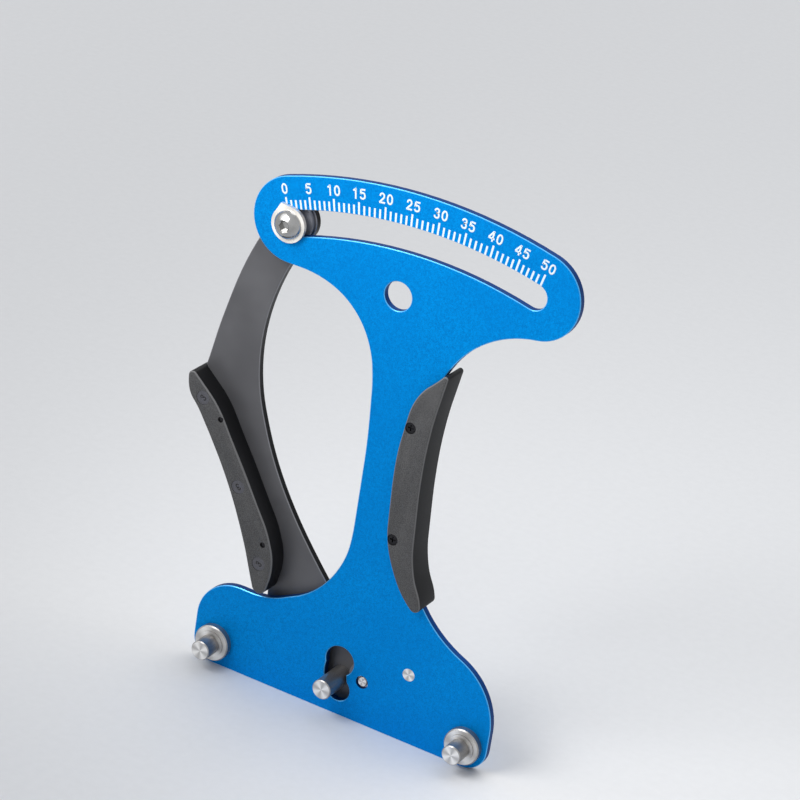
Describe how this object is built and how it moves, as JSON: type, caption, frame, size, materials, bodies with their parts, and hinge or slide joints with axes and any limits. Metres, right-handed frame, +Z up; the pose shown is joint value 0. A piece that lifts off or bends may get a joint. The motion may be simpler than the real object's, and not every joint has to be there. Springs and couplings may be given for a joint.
{
  "type": "spoke tension meter",
  "caption": "Hand-held spoke tension meter: a flat dial plate with posts, a grip and a curved scale slot, and a sprung lever behind it that sweeps a pointer along the slot",
  "frame": {"origin": "middle of the bounding box at the foot of the plate", "axes": "X to the right along the row of posts, Y to the back, along the pivot, Z up from the posts to the scale"},
  "size_m": [0.1224, 0.0266, 0.1747],
  "materials": {
    "blue_plate": "sandblasted, blue anodised",
    "black_lever": "satin black",
    "turned_steel": "turned",
    "spring_steel": "drawn wire, zinc plated",
    "bright_plate": "bright plated",
    "bronze": "machined",
    "grip_plastic": "moulded, fine texture",
    "small_screws": "black oxide",
    "grey_plastic": "smooth"
  },
  "bodies": {
    "meter": {"dial_plate": "blue_plate", "post_left": "turned_steel", "post_right": "turned_steel", "collar_left": "turned_steel", "collar_right": "turned_steel", "plate_grip": "grip_plastic", "plate_grip_screws": "small_screws", "pivot_pin": "turned_steel", "thrust_washer": "grey_plastic", "rear_washer": "turned_steel", "spring_sleeve": "turned_steel", "dome_nut": "bright_plate", "torsion_spring": "spring_steel", "spring_anchor_stud": "turned_steel"},
    "lever": {"lever_arm": "black_lever", "lever_bush": "bronze", "moving_post": "turned_steel", "spring_hook_stud": "turned_steel", "lever_grip": "grip_plastic", "lever_grip_screws": "small_screws", "pointer_washer": "turned_steel", "pointer_screw": "bright_plate", "pointer_sleeve": "turned_steel", "pointer_slide_washer": "grey_plastic", "pointer_nut": "bright_plate"}
  },
  "joints": [
    {"name": "lever_pivot", "type": "hinge", "parent": "meter", "child": "lever", "pos_m": [0.01198, -0.00155, 0.0143], "axis": [0, 1, 0], "range_deg": [0, 32], "stiffness_Nm_per_rad": 1.2, "springref_deg": -8.59, "deforming": ["torsion_spring"]}
  ]
}
